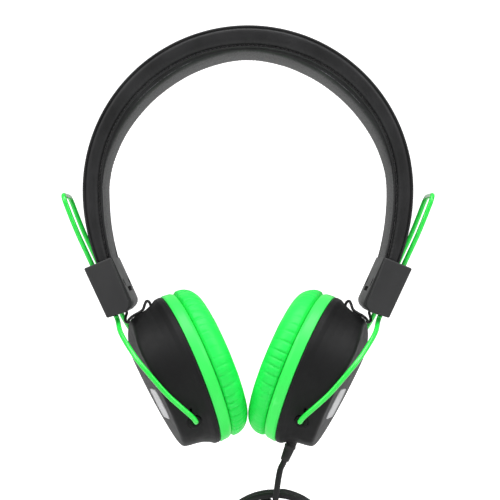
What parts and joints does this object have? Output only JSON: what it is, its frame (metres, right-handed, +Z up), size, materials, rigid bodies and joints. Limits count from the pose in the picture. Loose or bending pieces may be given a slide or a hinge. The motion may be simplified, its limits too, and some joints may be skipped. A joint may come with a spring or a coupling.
{
  "type": "gaming headset",
  "caption": "Wired on-ear headset with padded headband, wire hangers in slider blocks, tilting cushioned cups and an in-line microphone.",
  "frame": {"origin": "centre of the headset's bounding box, on its left-right middle plane", "axes": "+X towards the wearer's left (the cup with the cable), +Y towards the back of the head, +Z up"},
  "size_m": [0.1672, 0.0735, 0.269],
  "materials": {
    "leatherette": "grained black leatherette, satin",
    "block_plastic": "fine textured dark grey plastic",
    "cup_plastic": "soft-touch black plastic",
    "green_plastic": "satin bright green plastic",
    "green_wire": "glossy green coated steel wire",
    "green_cushion": "smooth bright green leatherette",
    "badge": "satin silver plastic, blank",
    "steel": "spring steel and screws",
    "contact": "gold-plated plug contact",
    "foam": "open-cell grey foam",
    "cloth": "thin black acoustic cloth",
    "rubber": "black flexible PVC",
    "membrane": "thin clear film",
    "board": "green circuit board"
  },
  "bodies": {
    "headband": {"headband_cover": "leatherette", "headband_foam": "foam", "headband_spring": "steel", "left_block_outer_shell": "block_plastic", "left_block_inner_shell": "block_plastic", "left_block_screw_front": "steel", "left_block_screw_rear": "steel", "left_band_clamp": "steel", "right_block_outer_shell": "block_plastic", "right_block_inner_shell": "block_plastic", "right_block_screw_front": "steel", "right_block_screw_rear": "steel", "right_band_clamp": "steel"},
    "left_hanger": {"left_hanger_wire": "green_wire"},
    "left_cup": {"left_cup_shell": "cup_plastic", "left_pivot_bush_front": "cup_plastic", "left_pivot_bush_rear": "cup_plastic", "left_badge": "badge", "left_baffle": "cup_plastic", "left_cup_screw_1": "steel", "left_cup_screw_2": "steel", "left_cup_screw_3": "steel", "left_driver_frame": "cup_plastic", "left_driver_magnet": "steel", "left_driver_membrane": "membrane", "left_pad_ring": "green_plastic", "left_front_cloth": "cloth", "left_ear_pad": "green_cushion", "left_link_cable": "rubber", "cable_strain_relief": "rubber", "cable_upper": "rubber", "pod_front_shell": "cup_plastic", "pod_rear_shell": "cup_plastic", "pod_board": "board", "microphone_capsule": "steel", "cable_coil": "rubber", "cable_tie": "rubber", "plug_strain_relief": "rubber", "plug_grip": "cup_plastic", "plug_pin": "contact"},
    "right_hanger": {"right_hanger_wire": "green_wire"},
    "right_cup": {"right_cup_shell": "cup_plastic", "right_pivot_bush_front": "cup_plastic", "right_pivot_bush_rear": "cup_plastic", "right_badge": "badge", "right_baffle": "cup_plastic", "right_cup_screw_1": "steel", "right_cup_screw_2": "steel", "right_cup_screw_3": "steel", "right_driver_frame": "cup_plastic", "right_driver_magnet": "steel", "right_driver_membrane": "membrane", "right_pad_ring": "green_plastic", "right_front_cloth": "cloth", "right_ear_pad": "green_cushion", "right_link_cable": "rubber"},
    "pod_button": {"pod_button": "rubber"}
  },
  "joints": [
    {"name": "left_slider", "type": "slide", "parent": "headband", "child": "left_hanger", "axis": [-0.4226, 0, -0.9063], "range_m": [0, 0.012], "deforming": ["left_ear_pad", "left_link_cable"]},
    {"name": "left_cup_tilt", "type": "hinge", "parent": "left_hanger", "child": "left_cup", "pos_m": [0.02764, -0.00176, -0.04152], "axis": [-0.1769, -0.9816, 0.0715], "range_deg": [-3, 14]},
    {"name": "right_slider", "type": "slide", "parent": "headband", "child": "right_hanger", "axis": [0.4226, 0, -0.9063], "range_m": [0, 0.012], "deforming": ["right_ear_pad", "right_link_cable"]},
    {"name": "right_cup_tilt", "type": "hinge", "parent": "right_hanger", "child": "right_cup", "pos_m": [-0.02764, -0.00176, -0.04152], "axis": [-0.1769, 0.9816, -0.0715], "range_deg": [-3, 14]},
    {"name": "pod_button_press", "type": "slide", "parent": "left_cup", "child": "pod_button", "axis": [0, 1, 0], "range_m": [0, 0.0005], "stiffness_N_per_m": 800}
  ]
}
